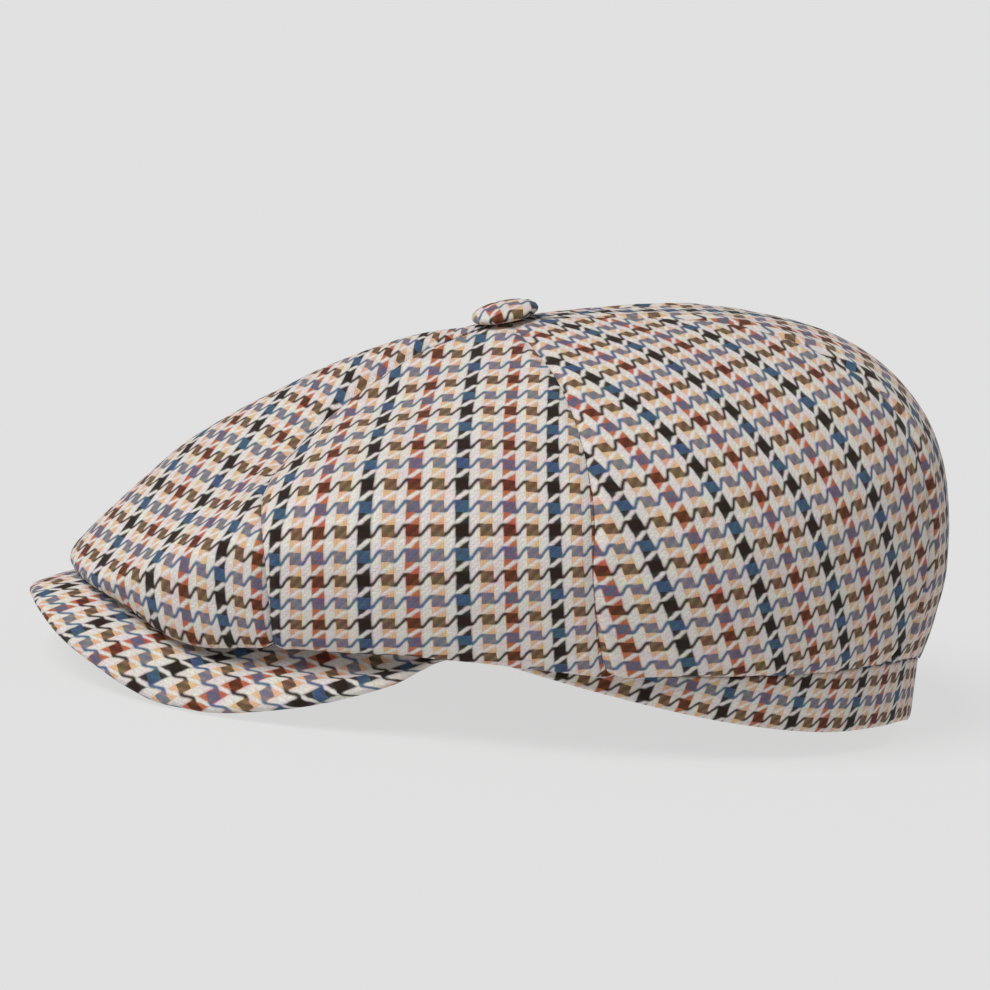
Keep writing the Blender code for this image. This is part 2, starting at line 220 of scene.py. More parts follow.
def table(rows, column, angle):
    """A column's values at these angles, from a smooth curve through the rows that is level at both ends."""
    keys = np.array([row.angle for row in rows], float)
    values = np.array([getattr(row, column) for row in rows], float)
    angle = np.clip(angle, keys[0], keys[-1])
    i = np.clip(np.searchsorted(keys, angle, side="right") - 1, 0, len(keys) - 2)
    slopes = np.zeros(len(keys))
    slopes[1:-1] = (values[2:] - values[:-2]) / (keys[2:] - keys[:-2])
    width = keys[i + 1] - keys[i]
    t = (angle - keys[i]) / width
    start = (1 + 2 * t) * (1 - t) ** 2 * values[i] + t * (1 - t) ** 2 * width * slopes[i]
    return start + t * t * (3 - 2 * t) * values[i + 1] - t * t * (1 - t) * width * slopes[i + 1]


def rim_height(angle):
    return np.maximum(0.0, RIM_RISE * table(BAND_ROWS, "rim", np.abs(angle)) - RIM_FLAT)


def band_top(angle):
    return rim_height(angle) + BAND_HEIGHT * table(BAND_ROWS, "shows", np.abs(angle))


def band_point(angle, outward, height):
    """Points this far outside the band's outer face."""
    a = np.radians(angle)
    x = BAND_X * np.sin(a)
    y = -BAND_REACH * np.cos(a)
    nx, ny = x / BAND_X**2, y / BAND_REACH**2
    size = np.hypot(nx, ny)
    return np.stack([x + nx / size * outward, BAND_Y + y + ny / size * outward, height + 0 * x], -1)


def peak_base(angle, share):
    """Underside of the peak at these angles at the band and shares of the way out to its edge."""
    angle, share = np.broadcast_arrays(np.asarray(angle, float), np.asarray(share, float))
    turn = angle / PEAK_END_ANGLE * 90
    ends = np.full(angle.shape, PEAK_END_ANGLE)
    end_height = rim_height(ends) - PEAK_DROP
    root = band_point(angle, GAP, rim_height(angle) - PEAK_DROP)
    end = band_point(ends, GAP, 0.0)
    t = np.radians(turn)
    end_y = end[..., 1] - PEAK_END_WIDTH
    height = PEAK_TIP_HEIGHT * table(PEAK_ROWS, "tip", np.abs(turn))
    height = np.maximum(0.0, height + end_height * table(PEAK_ROWS, "ends", np.abs(turn)))
    x = (end[..., 0] + PEAK_END_WIDTH) * np.sin(t)
    edge = np.stack([x, end_y + (PEAK_EDGE_Y - end_y) * np.cos(t), height], -1)
    point = root + (edge - root) * share[..., None]
    reach = np.linalg.norm(edge - root, axis=-1)
    point[..., 2] += PEAK_ARCH * (1 - (2 * share - 1) ** 4) * smooth_step(reach, 0.0, PEAK_REACH)
    return point


def unit(vectors):
    return vectors / np.maximum(np.linalg.norm(vectors, axis=-1, keepdims=True), 1e-12)


def peak_above(angle, share, lift):
    """Points this far above the peak's underside, square to it."""
    across = peak_base(angle + 0.5, share) - peak_base(angle - 0.5, share)
    along = peak_base(angle, share + 0.01) - peak_base(angle, share - 0.01)
    return peak_base(angle, share) - unit(np.cross(across, along)) * np.asarray(lift)[..., None]


def widest_point(turn):
    a = np.radians(turn)
    y = CROWN_Y - CROWN_REACH * np.cos(a) - BUTTON_Y
    return np.stack([CROWN_X * np.sin(a), y, 0 * a], -1)


def crown_stations(angle):
    """Points of the crown's outer face from the button to the band, at angles at the band from 0 to 180."""
    bands = [seam.band for seam in SEAMS]
    turn = np.interp(angle, bands, [seam.widest for seam in SEAMS])
    button_turn = np.interp(angle, bands, [seam.button for seam in SEAMS])
    hole = unit(widest_point(button_turn)) * HOLE_RADIUS
    hole[..., 2] = hole[..., 1] * math.tan(BUTTON_TILT)
    points = [np.array([0.0, BUTTON_Y, APEX_SHARE * CROWN_HEIGHT]) + hole]
    for column, share in OUT_SHARES.items():
        at = button_turn + (turn - button_turn) * share**SEAM_CURVE
        point = np.array([0.0, BUTTON_Y, 0.0]) + widest_point(at) * share
        point[..., 2] = CROWN_HEIGHT * table(SECTIONS, column, at)
        points.append(point)
    widest = points[-1]
    edge = band_point(angle, GAP, band_top(angle) + GAP)
    lip = edge + (widest - edge) * table(LIP_ROWS, "out", turn)[..., None]
    lip[..., 2] = CROWN_HEIGHT * table(LIP_ROWS, "height", turn)
    points.append(lip)
    for row in HEM:
        laid_share = row.on_peak * (1 - LAID_LESS * smooth_step(angle, *LAID_SIDES))
        laid = peak_above(np.minimum(angle, PEAK_END_ANGLE), laid_share, PEAK_WALL + LAID_GAP)
        droop = edge + (lip - edge) * row.droop_out
        droop[..., 2] = edge[..., 2] + (lip - edge)[..., 2] * row.droop_down
        tuck = edge + (lip - edge) * row.tuck_out
        tuck[..., 2] = edge[..., 2] + (lip - edge)[..., 2] * row.tuck_down
        point = laid + (droop - laid) * smooth_step(angle, *OFF_PEAK)[..., None]
        points.append(point + (tuck - point) * smooth_step(angle, *DRAWN_IN)[..., None])
    return np.array(points + [edge])


PATH_STEPS = 24


def smooth_path(points):
    """A centripetal curve through points[k, column], as [column, step]."""
    ends = np.concatenate([2 * points[:1] - points[1:2], points, 2 * points[-1:] - points[-2:-1]])
    pieces = []
    for i in range(len(points) - 1):
        four = ends[i : i + 4]
        gaps = np.maximum(np.linalg.norm(four[1:] - four[:-1], axis=-1), 1e-6) ** 0.5
        knots = np.concatenate([np.zeros((1,) + gaps.shape[1:]), np.cumsum(gaps, 0)])[..., None]
        for step in range(PATH_STEPS):
            t = knots[1] + (knots[2] - knots[1]) * step / PATH_STEPS

            def mix(a, b, low, high):
                return ((knots[high] - t) * a + (t - knots[low]) * b) / (knots[high] - knots[low])

            first, second, third = (mix(four[k], four[k + 1], k, k + 1) for k in range(3))
            pieces.append(mix(mix(first, second, 0, 2), mix(second, third, 1, 3), 1, 2))
    pieces.append(points[-1])
    return np.stack(pieces, 1)


def crown_grid(angles, shares):
    """The crown's outer face as [column, row], with the rows at these shares of each line's length."""
    wrapped = (np.asarray(angles, float) + 180) % 360 - 180
    paths = smooth_path(crown_stations(np.abs(wrapped)))
    steps = np.linalg.norm(np.diff(paths, axis=1), axis=-1)
    length = np.concatenate([np.zeros((len(paths), 1)), np.cumsum(steps, 1)], 1)
    grid = np.empty((len(paths), len(shares), 3))
    for column, (path, at) in enumerate(zip(paths, length)):
        for axis in range(3):
            grid[column, :, axis] = np.interp(shares * at[-1], at, path[:, axis])
    grid[wrapped < 0, :, 0] *= -1
    return grid


# Flattening: where each point of a piece lies in the flat cloth that it was cut from
FLATTEN_ROUNDS = 25
LEAST_WEIGHT, MOST_WEIGHT = 0.02, 50.0


def lay_triangles(corners):
    """Each triangle laid flat by itself, and for each of its sides the cotangent of the angle opposite."""
    e1, e2 = corners[:, 1] - corners[:, 0], corners[:, 2] - corners[:, 0]
    base = np.maximum(np.linalg.norm(e1, axis=1), 1e-9)
    along = (e1 * e2).sum(1) / base
    high = np.sqrt(np.maximum((e2 * e2).sum(1) - along**2, 1e-14))
    flat = np.zeros((len(corners), 3, 2))
    flat[:, 1, 0], flat[:, 2, 0], flat[:, 2, 1] = base, along, -high
    weights = np.empty((len(corners), 3))
    for k in range(3):
        p, q = flat[:, (k + 1) % 3] - flat[:, k], flat[:, (k + 2) % 3] - flat[:, k]
        cross = np.maximum(np.abs(p[:, 0] * q[:, 1] - p[:, 1] * q[:, 0]), 1e-12)
        weights[:, (k + 1) % 3] = np.clip((p * q).sum(1) / cross, LEAST_WEIGHT, MOST_WEIGHT)
    return flat, weights


def first_guess(grid):
    """The middle column straight down, and each row level at its own length."""
    columns, rows = grid.shape[:2]
    down = np.concatenate([[0.0], np.cumsum(np.linalg.norm(np.diff(grid[columns // 2], axis=0), axis=1))])
    wide = np.concatenate([np.zeros((1, rows)), np.cumsum(np.linalg.norm(np.diff(grid, axis=0), axis=-1), 0)])
    return np.stack([wide - wide[columns // 2], np.broadcast_to(-down, (columns, rows))], -1)


def turned(flat, cos, sin):
    """Flat places, turned by the angle with this cosine and sine."""
    return np.stack([cos * flat[..., 0] - sin * flat[..., 1], sin * flat[..., 0] + cos * flat[..., 1]], -1)


def flatten(grid):
    """Flat places, in metres, of a grid of points, as near as can be to the lengths that it has in space."""
    columns, rows = grid.shape[:2]
    count = columns * rows
    index = np.arange(count).reshape(columns, rows)
    a, b, c, d = index[:-1, :-1], index[1:, :-1], index[1:, 1:], index[:-1, 1:]
    faces = np.concatenate([np.stack(f, -1).reshape(-1, 3) for f in ((a, b, c), (a, c, d))])
    flat, weights = lay_triangles(grid.reshape(-1, 3)[faces])
    sides = flat[:, [0, 1, 2]] - flat[:, [1, 2, 0]]
    first, second = faces[:, [0, 1, 2]], faces[:, [1, 2, 0]]
    laplace = np.zeros((count, count))
    for one, other in ((first, second), (second, first)):
        np.add.at(laplace, (one, one), weights)
        np.add.at(laplace, (one, other), -weights)
    laplace[0, 0] += 1.0
    inverse = np.linalg.inv(laplace)
    guess = first_guess(grid).reshape(-1, 2)
    for _ in range(FLATTEN_ROUNDS):
        # Each flat triangle is turned to lie best on the guess, and then the guess is moved onto them all
        now = guess[first] - guess[second]
        same = (weights * (now * sides).sum(-1)).sum(1)
        square = (weights * (now[..., 1] * sides[..., 0] - now[..., 0] * sides[..., 1])).sum(1)
        size = np.maximum(np.hypot(same, square), 1e-15)
        pulls = weights[..., None] * turned(sides, (same / size)[:, None], (square / size)[:, None])
        pull = np.zeros((count, 2))
        np.add.at(pull, first, pulls)
        np.add.at(pull, second, -pulls)
        guess = inverse @ pull
    guess = guess.reshape(columns, rows, 2)
    # The middle column is set upright, by its upper three quarters, with its top at the origin
    middle = guess[columns // 2]
    line = middle[0] - middle[(3 * rows) // 4]
    turn = math.atan2(line[0], line[1])
    return turned(guess - middle[0], math.cos(turn), math.sin(turn))


def resample(values, places):
    """Values at fractional places along the first axis, by a smooth curve."""
    last = len(values) - 1
    i = np.clip(np.floor(places).astype(int), 0, last - 1)
    t = (places - i).reshape((-1,) + (1,) * (values.ndim - 1))
    p1, p2 = values[i], values[i + 1]
    p0 = np.where((i > 0).reshape(t.shape), values[np.maximum(i - 1, 0)], 2 * p1 - p2)
    p3 = np.where((i < last - 1).reshape(t.shape), values[np.minimum(i + 2, last)], 2 * p2 - p1)
    square, cube = 2 * p0 - 5 * p1 + 4 * p2 - p3, 3 * p1 - 3 * p2 + p3 - p0
    return 0.5 * (2 * p1 + (p2 - p0) * t + square * t**2 + cube * t**3)


# Small unevenness


def bumps(points, size, seed):
    """Smooth noise from about -1 to 1 at points[..., 3], with features of this size."""
    flat = points.reshape(-1, 3) / size
    found = [noise.noise(Vector((x + seed, y - 2 * seed, z + 3 * seed))) for x, y, z in flat]
    return np.array(found).reshape(points.shape[:-1])


def normals_of(grid):
    across = np.gradient(grid, axis=0)
    along = np.gradient(grid, axis=1)
    return unit(np.cross(along, across))


# Meshes


def uv_of(name, flat):
    """Cloth coordinates, in threads, of flat places in metres."""
    x, y = flat[..., 0] * 10, flat[..., 1] * 10
    warp, weft = CUTS.get(name, PLAIN)
    found = []
    for lay, square in ((warp, x * np.abs(x)), (weft, x * x)):
        eased = lay.across_square * square + lay.along_square * y * y + lay.both * x * y
        found.append(lay.start + lay.across * x + lay.along * y + eased + STRIPE_MIDDLE)
    return np.stack(found, -1)


def cloth_object(name, points, faces, uvs, corners):
    """A smooth mesh whose faces' corners have these cloth coordinates."""
    mesh = bpy.data.meshes.new(name)
    mesh.from_pydata(np.asarray(points).tolist(), [], faces)
    layer = mesh.uv_layers.new(name="cloth")
    layer.data.foreach_set("uv", uvs[np.array(corners)].astype(np.float32).ravel())
    mesh.update()
    mesh.shade_smooth()
    obj = bpy.data.objects.new(name, mesh)
    bpy.context.scene.collection.objects.link(obj)
    return obj


def wall_object(name, outer, inner, uvs):
    """A closed wall between two grids. With one more column of cloth than of points it goes right round."""
    columns, rows = uvs.shape[:2]
    count = columns * rows
    index = np.arange(count).reshape(columns, rows)
    a, b, c, d = index[:-1, :-1], index[1:, :-1], index[1:, 1:], index[:-1, 1:]
    front = np.stack([a, d, c, b], -1).reshape(-1, 4)
    back = np.stack([a, b, c, d], -1).reshape(-1, 4) + count
    edges = [index[:, 0], index[::-1, -1]]
    if len(outer) == columns:
        edges += [index[-1, :], index[0, ::-1]]
    sides = [np.stack([line[:-1], line[1:], line[1:] + count, line[:-1] + count], -1) for line in edges]
    corners = np.concatenate([front, back] + sides)
    inside, place = corners // count, corners % count
    faces = place // rows % len(outer) * rows + place % rows + inside * len(outer) * rows
    points = np.concatenate([outer.reshape(-1, 3), inner.reshape(-1, 3)])
    both = np.concatenate([uvs.reshape(-1, 2)] * 2)
    return cloth_object(name, points, faces.tolist(), both, corners.ravel())


# Panels of the crown
PANEL_COLUMNS, PANEL_ROWS = 72, 120
COARSE_COLUMNS, COARSE_ROWS = 25, 45
SEAM_GAP = 0.00006  # by which a panel stops short of its seams
EDGE_CROWDING = 0.55  # how far its columns crowd towards its seams

Fold = namedtuple("Fold", "height place width")  # the place is counted from the seam
SEAM_DIP = Fold(-0.0010, 0.0, 0.0017)
SEAM_RIDGE = Fold(0.00025, 0.0045, 0.0022)
PUCKERS = Fold(0.00022, 0.002, 0.006)
PUCKER_SIZE = 0.006
PUCKER_SQUEEZE = (1.0, 1.0, 1.6)
FOLDS_START = (0.004, 0.02)  # widths of a panel between which its folds set in, below the button
WAVE_HEIGHT, WAVE_SIZE = 0.0006, 0.034
RIPPLE_HEIGHT, RIPPLE_SIZE = 0.00018, 0.011
WAVES_FULL = 0.008  # the waves die away within this of a seam


def fold(distance, shape):
    return shape.height * np.exp(-(((distance - shape.place) / shape.width) ** 2))


def row_shares(count):
    """Shares of a panel's length, closer together round its lower edge."""
    return np.interp(np.linspace(0, 1, count), (0.0, 0.7, 1.0), (0.0, 0.8, 1.0))


def panel_flat(start, end, shares):
    """Flat places of a panel's points, worked out on a coarse grid."""
    coarse = crown_grid(np.linspace(start, end, COARSE_COLUMNS), row_shares(COARSE_ROWS))
    flat = resample(flatten(coarse), shares * (COARSE_COLUMNS - 1))
    rows = np.linspace(0, 1, PANEL_ROWS) * (COARSE_ROWS - 1)
    return resample(flat.transpose(1, 0, 2), rows).transpose(1, 0, 2)


def panel_lift(grid, seed):
    """How far a panel's points stand out from its smooth face, in folds along the seams and in waves."""
    from_first = np.linalg.norm(grid - grid[:1], axis=-1)
    from_last = np.linalg.norm(grid - grid[-1:], axis=-1)
    seam = np.minimum(from_first, from_last)
    puckered = bumps(grid * np.array(PUCKER_SQUEEZE), PUCKER_SIZE, seed + 7)
    folds = fold(seam, SEAM_DIP) + fold(seam, SEAM_RIDGE) + fold(seam, PUCKERS) * puckered
    width = np.linalg.norm(grid[-1] - grid[0], axis=-1)
    waves = WAVE_HEIGHT * bumps(grid, WAVE_SIZE, seed) + RIPPLE_HEIGHT * bumps(grid, RIPPLE_SIZE, seed + 3)
    return folds * smooth_step(width, *FOLDS_START) + waves * smooth_step(seam, 0, WAVES_FULL)


def panel(name, start, end, seed):
    t = np.linspace(0, 1, PANEL_COLUMNS)
    shares = (1 - EDGE_CROWDING) * t + EDGE_CROWDING * (1 - np.cos(np.pi * t)) / 2
    grid = crown_grid(start + (end - start) * shares, row_shares(PANEL_ROWS))
    outward = normals_of(grid)
    outer = grid + outward * panel_lift(grid, seed)[..., None]
    outer[0] += unit(grid[1] - grid[0]) * SEAM_GAP
    outer[-1] -= unit(grid[-1] - grid[-2]) * SEAM_GAP
    flat = panel_flat(start, end, shares)
    return wall_object(name + "_cloth", outer, outer - outward * CLOTH, uv_of(name, flat))


# Band
BAND_COLUMNS, BAND_ROW_COUNT = 240, 14
RIM_ROUND = 0.0007  # by which the lowest rows are drawn in, to round off the rim
RIM_ROUND_ROWS = 2.0


def band():
    angles = np.linspace(0, 360, BAND_COLUMNS + 1)
    wrapped = (angles + 180) % 360 - 180
    low, high = rim_height(wrapped), band_top(wrapped)
    grid = np.empty((BAND_COLUMNS + 1, BAND_ROW_COUNT, 3))
    for row, share in enumerate(np.linspace(0, 1, BAND_ROW_COUNT)):
        roll = max(0.0, 1 - share * (BAND_ROW_COUNT - 1) / RIM_ROUND_ROWS)
        grid[:, row] = band_point(wrapped, -RIM_ROUND * roll**2, low + (high - low) * share)
    steps = np.linalg.norm(np.diff(band_point(wrapped, 0.0, 0.0), axis=0), axis=1)
    along = np.concatenate([[0.0], np.cumsum(steps)])
    flat = np.stack(np.broadcast_arrays(along[:, None], grid[..., 2] - low[:, None]), -1)
    inner = grid - unit(grid - np.array([0, BAND_Y, 0])) * np.array([1, 1, 0]) * BAND_WALL
    return wall_object("band_cloth", grid[:-1], inner[:-1], uv_of("band", flat))


# Peak
PEAK_COLUMNS = 170
PEAK_TOP_ROWS, PEAK_EDGE_ROWS, PEAK_UNDER_ROWS = 44, 11, 18
PEAK_THINS = 0.6  # the share of its thickness that it has lost at its ends
PEAK_THINS_FROM = 48  # degrees
PEAK_DIP = 0.0020  # how far the crown's lip presses its cloth down
PEAK_DIP_ANGLES = ((8, 20), (50, 60))  # between which the dip sets in, and then goes
PEAK_DIP_SHARES = ((0.15, 0.35), (0.55, 0.8))  # the same, of the way out


def swell(value, rise, fall):
    """From 0 up to 1, and back to 0."""
    return smooth_step(value, *rise) * (1 - smooth_step(value, *fall))


def peak():
    """The peak's cloth in one sheet: out over the top, round the edge and back underneath."""
    angles = np.linspace(-PEAK_END_ANGLE, PEAK_END_ANGLE, PEAK_COLUMNS)[:, None]
    turn = np.linspace(np.pi / 2, -np.pi / 2, PEAK_EDGE_ROWS)[None, 1:-1]
    root, edge = peak_base(angles, 0.0), peak_base(angles, 1.0)
    reach = np.linalg.norm(edge - root, axis=-1)
    round_share = np.minimum(0.5 * PEAK_WALL / reach, 0.5)
    top = np.linspace(0, 1, PEAK_TOP_ROWS)[None] * (1 - round_share)
    rim = 1 - round_share + round_share * np.cos(turn)
    under = np.linspace(1, 0, PEAK_UNDER_ROWS)[None] * (1 - round_share)
    share = np.concatenate([top, rim, under], 1)
    half = PEAK_WALL / 2 * (1 - PEAK_THINS * smooth_step(np.abs(angles), PEAK_THINS_FROM, PEAK_END_ANGLE))
    middle = PEAK_WALL - half
    dip = PEAK_DIP * swell(np.abs(angles), *PEAK_DIP_ANGLES) * swell(top, *PEAK_DIP_SHARES)
    lift = np.concatenate([PEAK_WALL - dip, middle + half * np.sin(turn), under * 0 + middle - half], 1)
    points = peak_above(np.broadcast_to(angles, share.shape), share, lift)

    # The cloth lies level over the top, and goes on outwards where it turns under
    last = PEAK_TOP_ROWS - 1
    outwards = unit((edge - root)[..., :2])
    beyond = np.cumsum(np.linalg.norm(np.diff(points[:, last:], axis=1), axis=-1), 1)
    flat = points[..., :2].copy()
    flat[:, last + 1 :] = flat[:, last : last + 1] + outwards * beyond[..., None]

    index = np.arange(share.size).reshape(share.shape)
    ring = np.concatenate([index, index[:, :1]], 1)
    a, b, c, d = ring[:-1, :-1], ring[1:, :-1], ring[1:, 1:], ring[:-1, 1:]
    faces = np.stack([a, b, c, d], -1).reshape(-1, 4).tolist()
    faces += [index[0].tolist(), index[-1, ::-1].tolist()]
    corners = [corner for face in faces for corner in face]
    uvs = uv_of("peak", flat).reshape(-1, 2)
    return cloth_object("peak_cloth", points.reshape(-1, 3), faces, uvs, corners)


# Button
BUTTON_SIDES, BUTTON_STEPS = 96, 52
Ring = namedtuple("Ring", "out height")  # shares of the button's radius and of its dome's height
BUTTON_RINGS = (
    Ring(0.00, 1.00),
    Ring(0.34, 0.98),
    Ring(0.62, 0.90),
    Ring(0.84, 0.74),
    Ring(0.96, 0.52),
    Ring(1.00, 0.30),
    Ring(0.95, 0.10),
    Ring(0.82, 0.00),
)


def button():
    """The button and its shank, turned in one piece, with cloth laid outwards from the middle of the top."""
    radius, shank = BUTTON_DIAMETER / 2, SHANK_DIAMETER / 2
    section = [(ring.out * radius, ring.height * BUTTON_DOME) for ring in BUTTON_RINGS]
    section = np.array(section + [(shank, 0.0), (shank, -SHANK_LENGTH), (0.0, -SHANK_LENGTH)])
    along = np.concatenate([[0.0], np.cumsum(np.linalg.norm(np.diff(section, axis=0), axis=1))])
    at = np.linspace(0, along[-1], BUTTON_STEPS)
    r, z = np.interp(at, along, section[:, 0]), np.interp(at, along, section[:, 1])
    points, flat = [], []
    for k in range(1, BUTTON_STEPS - 1):
        for turn in np.linspace(0, 2 * np.pi, BUTTON_SIDES, endpoint=False):
            points.append((r[k] * math.cos(turn), r[k] * math.sin(turn), z[k]))
            flat.append((at[k] * math.cos(turn), at[k] * math.sin(turn)))
    top, bottom = len(points), len(points) + 1
    points += [(0, 0, z[0]), (0, 0, z[-1])]
    flat += [(0, 0), (0, 0)]

    faces = []
    last = (BUTTON_STEPS - 3) * BUTTON_SIDES
    for start in range(0, last, BUTTON_SIDES):
        for i in range(BUTTON_SIDES):
            a, b = start + i, start + (i + 1) % BUTTON_SIDES
            faces.append((a, a + BUTTON_SIDES, b + BUTTON_SIDES, b))
    for i in range(BUTTON_SIDES):
        following = (i + 1) % BUTTON_SIDES
        faces += [(top, i, following), (bottom, last + following, last + i)]
    place = Matrix.Translation((0.0, BUTTON_Y, APEX_SHARE * CROWN_HEIGHT + BUTTON_LIFT))
    place = place @ Matrix.Rotation(BUTTON_TILT, 4, "X")
    points = [tuple(place @ Vector(point)) for point in points]
    corners = [corner for face in faces for corner in face]
    return cloth_object("button_cloth", points, faces, uv_of("button", np.array(flat)), corners)


# Cloth material, whose maths counts in threads


def linear(*srgb):
    """A colour given as on a screen, from 0 to 255, in the linear shares that a material takes."""
    found = [(c / 255 / 12.92) if c <= 10 else ((c / 255 + 0.055) / 1.055) ** 2.4 for c in srgb]
    return (*found, 1.0)


BLACK = linear(32, 26, 22)
WARM_BLACK = linear(46, 34, 28)
TAN = linear(217, 173, 134)
RUST = linear(178, 94, 60)
BLUE = linear(72, 98, 128)
WHITE = linear(221, 214, 208)
WARP = (BLACK, TAN, RUST, TAN)
WEFT = (WARM_BLACK, BLUE)

STRIPE_HALF, STRIPE_SOFT = 2.34, 0.8  # half a coloured stripe's width, and its soft edge
WHITE_FULLER = 0.18  # by which a white thread spreads over a coloured one
TWILL_SOFT = 1.0  # over which warp goes over into weft
TWILL_OFFSET = 0.05  # by which the twill is off the middle of the stars
TWILL_BEND = 0.25  # by which its lines bend as they run into a star
STAR_EDGE, STAR_CORE = 20.0, 5.0  # how steeply a star's edge and its full colour set in
WANDER = 0.9  # how far the threads wander to both sides together
RAGGED = 0.4  # the same for the edges between warp and weft

SHOWS_THROUGH, SHOWS_COLOUR = 0.04, 0.34  # share of the thread below, and more where both are coloured
WEFT_FULLER = 0.56  # how much of the warp the weft hides where both are coloured
HUE_LEAST, HUE_DRIFT = 0.465, 0.07  # 0.5 keeps the hue
PASTEL = 0.45  # how strongly a soft drift of colours tints the yarn
TONE_LEAST, TONE_BY_THREAD, TONE_BY_MOTTLE = 0.77, 0.12, 0.34  # shares of the yarn's own colour
SHADE_BETWEEN_THREADS, LIGHT_ON_THREAD_TOP = 0.87, 0.16  # painted shade between threads, and painted light on top of one
FUZZ = 0.5  # the yarn's roughness, against a thread's height
BUMP_STRENGTH, BUMP_DEPTH = 0.6, 0.00016

Grain = namedtuple("Grain", "scale detail")  # of noise: features to a thread, and finer layers
GRAINS = {
    "wander": Grain(0.22, 3.0),
    "ragged": Grain(1.1, 2.0),
    "hue": Grain(0.13, 3.0),
    "pastel": Grain(0.3, 2.0),
    "mottle": Grain(1.7, 4.0),
    "fuzz": Grain(3.5, 3.0),
}


class Term:
    """A number in a material, so that its maths can be written as a formula."""

    def __init__(self, tree, socket):
        self.tree, self.socket = tree, socket

    def new(self, kind, a, b=None, c=None):
        node = self.tree.nodes.new("ShaderNodeMath")
        node.operation = kind
        for slot, value in enumerate((a, b, c)):
            if isinstance(value, Term):
                self.tree.links.new(value.socket, node.inputs[slot])
            elif value is not None:
                node.inputs[slot].default_value = value
        return Term(self.tree, node.outputs[0])

    def __add__(self, other):
        return self.new("ADD", self, other)

    def __sub__(self, other):
        return self.new("SUBTRACT", self, other)

    def __mul__(self, other):
        return self.new("MULTIPLY", self, other)

    def times_plus(self, factor, more):
        return self.new("MULTIPLY_ADD", self, factor, more)

    def power(self, exponent):
        return self.new("POWER", self, exponent)

    def floor(self):
        return self.new("FLOOR", self)

    def part(self):
        return self.new("FRACT", self)

    def sine(self):
        return self.new("SINE", self)

    def cosine(self):
        return self.new("COSINE", self)

    def size(self):
        return self.new("ABSOLUTE", self)

    def held(self):
        """Between 0 and 1."""
        found = self.new("ADD", self, 0.0)
        found.socket.node.use_clamp = True
        return found

    def rest(self):
        """1 less this."""
        return self * -1.0 + 1.0

    def modulo(self, size):
        return self.new("FLOORED_MODULO", self, size)

    def below(self, other):
        return self.new("LESS_THAN", self, other)


def mix_term(share, a, b):
    """share 0 gives a and 1 gives b."""
    return a + (b - a) * share


def mix_colour(tree, share, a, b, blend="MIX"):
    """share 0 gives a and 1 gives b, or b blended onto a."""
    node = tree.nodes.new("ShaderNodeMix")
    node.data_type, node.blend_type = "RGBA", blend
    for socket, value in ((node.inputs[0], share), (node.inputs[6], a), (node.inputs[7], b)):
        if isinstance(value, Term):
            tree.links.new(value.socket, socket)
        elif hasattr(value, "is_output"):
            tree.links.new(value, socket)
        else:
            socket.default_value = value
    return node.outputs[2]


def grain(tree, uv, name):
    node = tree.nodes.new("ShaderNodeTexNoise")
    node.inputs["Scale"].default_value = GRAINS[name].scale
    node.inputs["Detail"].default_value = GRAINS[name].detail
    tree.links.new(uv, node.inputs["Vector"])
    return node


def stripes(tree, thread, colours):
    """Yarn colours across the threads, one coloured stripe to a repeat, and where the white between is."""
    place = (thread + (STRIPE_REPEAT / 2 - STRIPE_MIDDLE)) * (1.0 / STRIPE_REPEAT)
    ramp = tree.nodes.new("ShaderNodeValToRGB")
    ramp.color_ramp.interpolation = "CONSTANT"
    stops = ramp.color_ramp.elements
    for number, colour in enumerate(colours):
        stop = stops[0] if number == 0 else stops.new(number / len(colours))
        stop.position = number / len(colours)
        stop.color = colour
    while len(stops) > len(colours):
        stops.remove(stops[-1])
    just_past_stop = 0.02
    number = place.floor().modulo(float(len(colours))) * (1.0 / len(colours)) + just_past_stop
    tree.links.new(number.socket, ramp.inputs[0])
    from_middle = (place.part() * STRIPE_REPEAT - STRIPE_REPEAT / 2).size()
    white = from_middle.times_plus(1 / STRIPE_SOFT, 0.5 - STRIPE_HALF / STRIPE_SOFT).held()
    return mix_colour(tree, white, ramp.outputs[0], WHITE), white


def wandering_threads(tree, uv):
    """Threads counted across the warp and across the weft, where each wanders a little."""
    straight = tree.nodes.new("ShaderNodeSeparateXYZ")
    tree.links.new(uv, straight.inputs[0])
    wander = tree.nodes.new("ShaderNodeSeparateXYZ")
    tree.links.new(grain(tree, uv, "wander").outputs["Color"], wander.inputs[0])
    found = []
    for number in range(2):
        aside = Term(tree, wander.outputs[number]) - 0.5
        found.append(Term(tree, straight.outputs[number]) + aside * WANDER)
    return found


